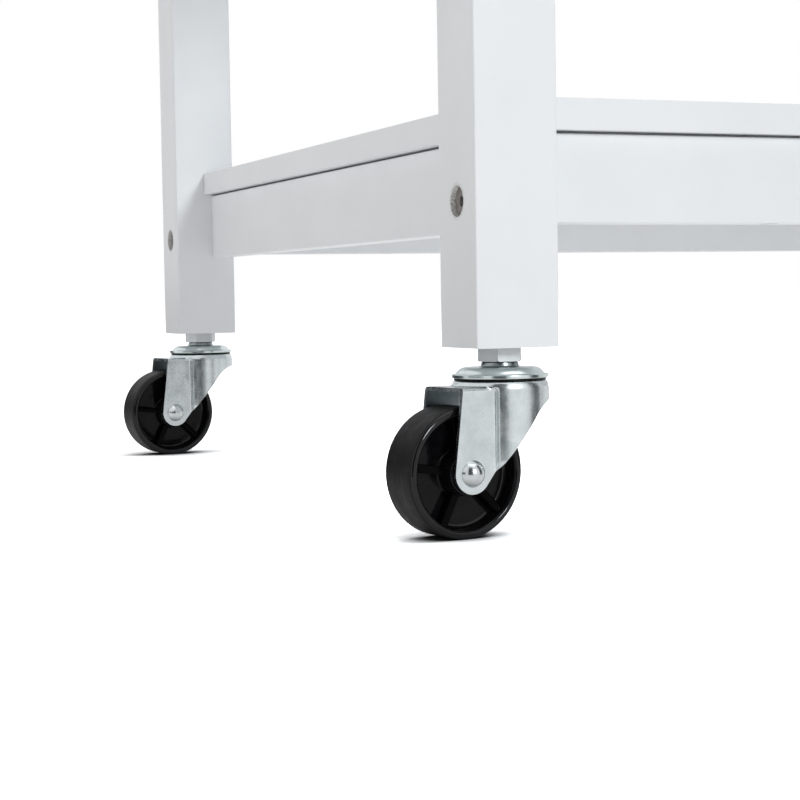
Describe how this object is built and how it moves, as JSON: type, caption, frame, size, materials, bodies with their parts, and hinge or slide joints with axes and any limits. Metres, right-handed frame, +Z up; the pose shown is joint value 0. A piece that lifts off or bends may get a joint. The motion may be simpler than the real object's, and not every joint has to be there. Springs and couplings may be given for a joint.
{
  "type": "kitchen cart",
  "caption": "Rolling kitchen cart: square painted legs, slab shelves on rails, wooden worktop, drawer, towel bar and swivel casters.",
  "frame": {"origin": "on the floor under the middle of the worktop, which is the centre of the bounding box's bottom", "axes": "+Z up; -Y is the front with the drawer; +X runs along the length to the end with the towel bar"},
  "size_m": [0.7, 0.505, 0.9],
  "materials": {
    "painted_wood": "white satin paint",
    "oiled_wood": "oiled staves",
    "bare_wood": "bare, sanded",
    "zinc_steel": "zinc plated",
    "bolt_steel": "dull nickel",
    "caster_zinc": "bright zinc plated",
    "ball_steel": "polished, greased",
    "knob_metal": "satin nickel",
    "wheel_plastic": "moulded black"
  },
  "bodies": {
    "cart": {"leg_front_left": "painted_wood", "leg_front_right": "painted_wood", "leg_rear_left": "painted_wood", "leg_rear_right": "painted_wood", "lower_rail_front": "painted_wood", "lower_rail_rear": "painted_wood", "lower_rail_left": "painted_wood", "lower_rail_right": "painted_wood", "lower_shelf": "painted_wood", "middle_rail_front": "painted_wood", "middle_rail_rear": "painted_wood", "middle_rail_left": "painted_wood", "middle_rail_right": "painted_wood", "middle_shelf": "painted_wood", "top_rail_front": "painted_wood", "drawer_rail_front": "painted_wood", "apron_rear": "painted_wood", "apron_left": "painted_wood", "apron_right": "painted_wood", "worktop": "oiled_wood", "towel_bar": "painted_wood", "drawer_runners": "bare_wood", "rail_bolts": "bolt_steel", "barrel_nuts": "zinc_steel", "rail_dowels": "bare_wood", "end_dowels": "bare_wood", "shelf_screws": "zinc_steel", "worktop_screws": "zinc_steel", "worktop_brackets": "zinc_steel", "bracket_screws": "zinc_steel", "runner_screws": "zinc_steel", "caster_inserts": "caster_zinc", "caster_stems": "caster_zinc", "caster_nuts": "caster_zinc", "caster_caps": "caster_zinc", "caster_balls": "ball_steel"},
    "drawer": {"drawer_front": "painted_wood", "drawer_side_left": "bare_wood", "drawer_side_right": "bare_wood", "drawer_back": "bare_wood", "drawer_bottom": "bare_wood", "drawer_stops": "bare_wood", "drawer_knobs": "knob_metal", "knob_screws": "zinc_steel", "drawer_dowels": "bare_wood"},
    "swivel_front_left": {"fork_front_left": "caster_zinc", "axle_front_left": "caster_zinc"},
    "wheel_front_left": {"wheel_front_left": "wheel_plastic"},
    "swivel_front_right": {"fork_front_right": "caster_zinc", "axle_front_right": "caster_zinc"},
    "wheel_front_right": {"wheel_front_right": "wheel_plastic"},
    "swivel_rear_left": {"fork_rear_left": "caster_zinc", "axle_rear_left": "caster_zinc"},
    "wheel_rear_left": {"wheel_rear_left": "wheel_plastic"},
    "swivel_rear_right": {"fork_rear_right": "caster_zinc", "axle_rear_right": "caster_zinc"},
    "wheel_rear_right": {"wheel_rear_right": "wheel_plastic"}
  },
  "joints": [
    {"name": "drawer_slide", "type": "slide", "parent": "cart", "child": "drawer", "axis": [0, -1, 0], "range_m": [0, 0.24]},
    {"name": "swivel_front_left", "type": "hinge", "parent": "cart", "child": "swivel_front_left", "pos_m": [-0.301, -0.213, 0.0584], "axis": [0, 0, 1], "continuous": true},
    {"name": "wheel_front_left", "type": "hinge", "parent": "swivel_front_left", "child": "wheel_front_left", "pos_m": [-0.32224, -0.21636, 0.025], "axis": [-0.1564, 0.9877, 0], "continuous": true},
    {"name": "swivel_front_right", "type": "hinge", "parent": "cart", "child": "swivel_front_right", "pos_m": [0.301, -0.213, 0.0584], "axis": [0, 0, 1], "continuous": true},
    {"name": "wheel_front_right", "type": "hinge", "parent": "swivel_front_right", "child": "wheel_front_right", "pos_m": [0.27955, -0.2145, 0.025], "axis": [-0.0698, 0.9976, 0], "continuous": true},
    {"name": "swivel_rear_left", "type": "hinge", "parent": "cart", "child": "swivel_rear_left", "pos_m": [-0.301, 0.213, 0.0584], "axis": [0, 0, 1], "continuous": true},
    {"name": "wheel_rear_left", "type": "hinge", "parent": "swivel_rear_left", "child": "wheel_rear_left", "pos_m": [-0.32242, 0.21113, 0.025], "axis": [-0.0872, 0.9962, 0], "continuous": true},
    {"name": "swivel_rear_right", "type": "hinge", "parent": "cart", "child": "swivel_rear_right", "pos_m": [0.301, 0.213, 0.0584], "axis": [0, 0, 1], "continuous": true},
    {"name": "wheel_rear_right", "type": "hinge", "parent": "swivel_rear_right", "child": "wheel_rear_right", "pos_m": [0.27976, 0.20964, 0.025], "axis": [-0.1564, 0.9877, 0], "continuous": true}
  ]
}
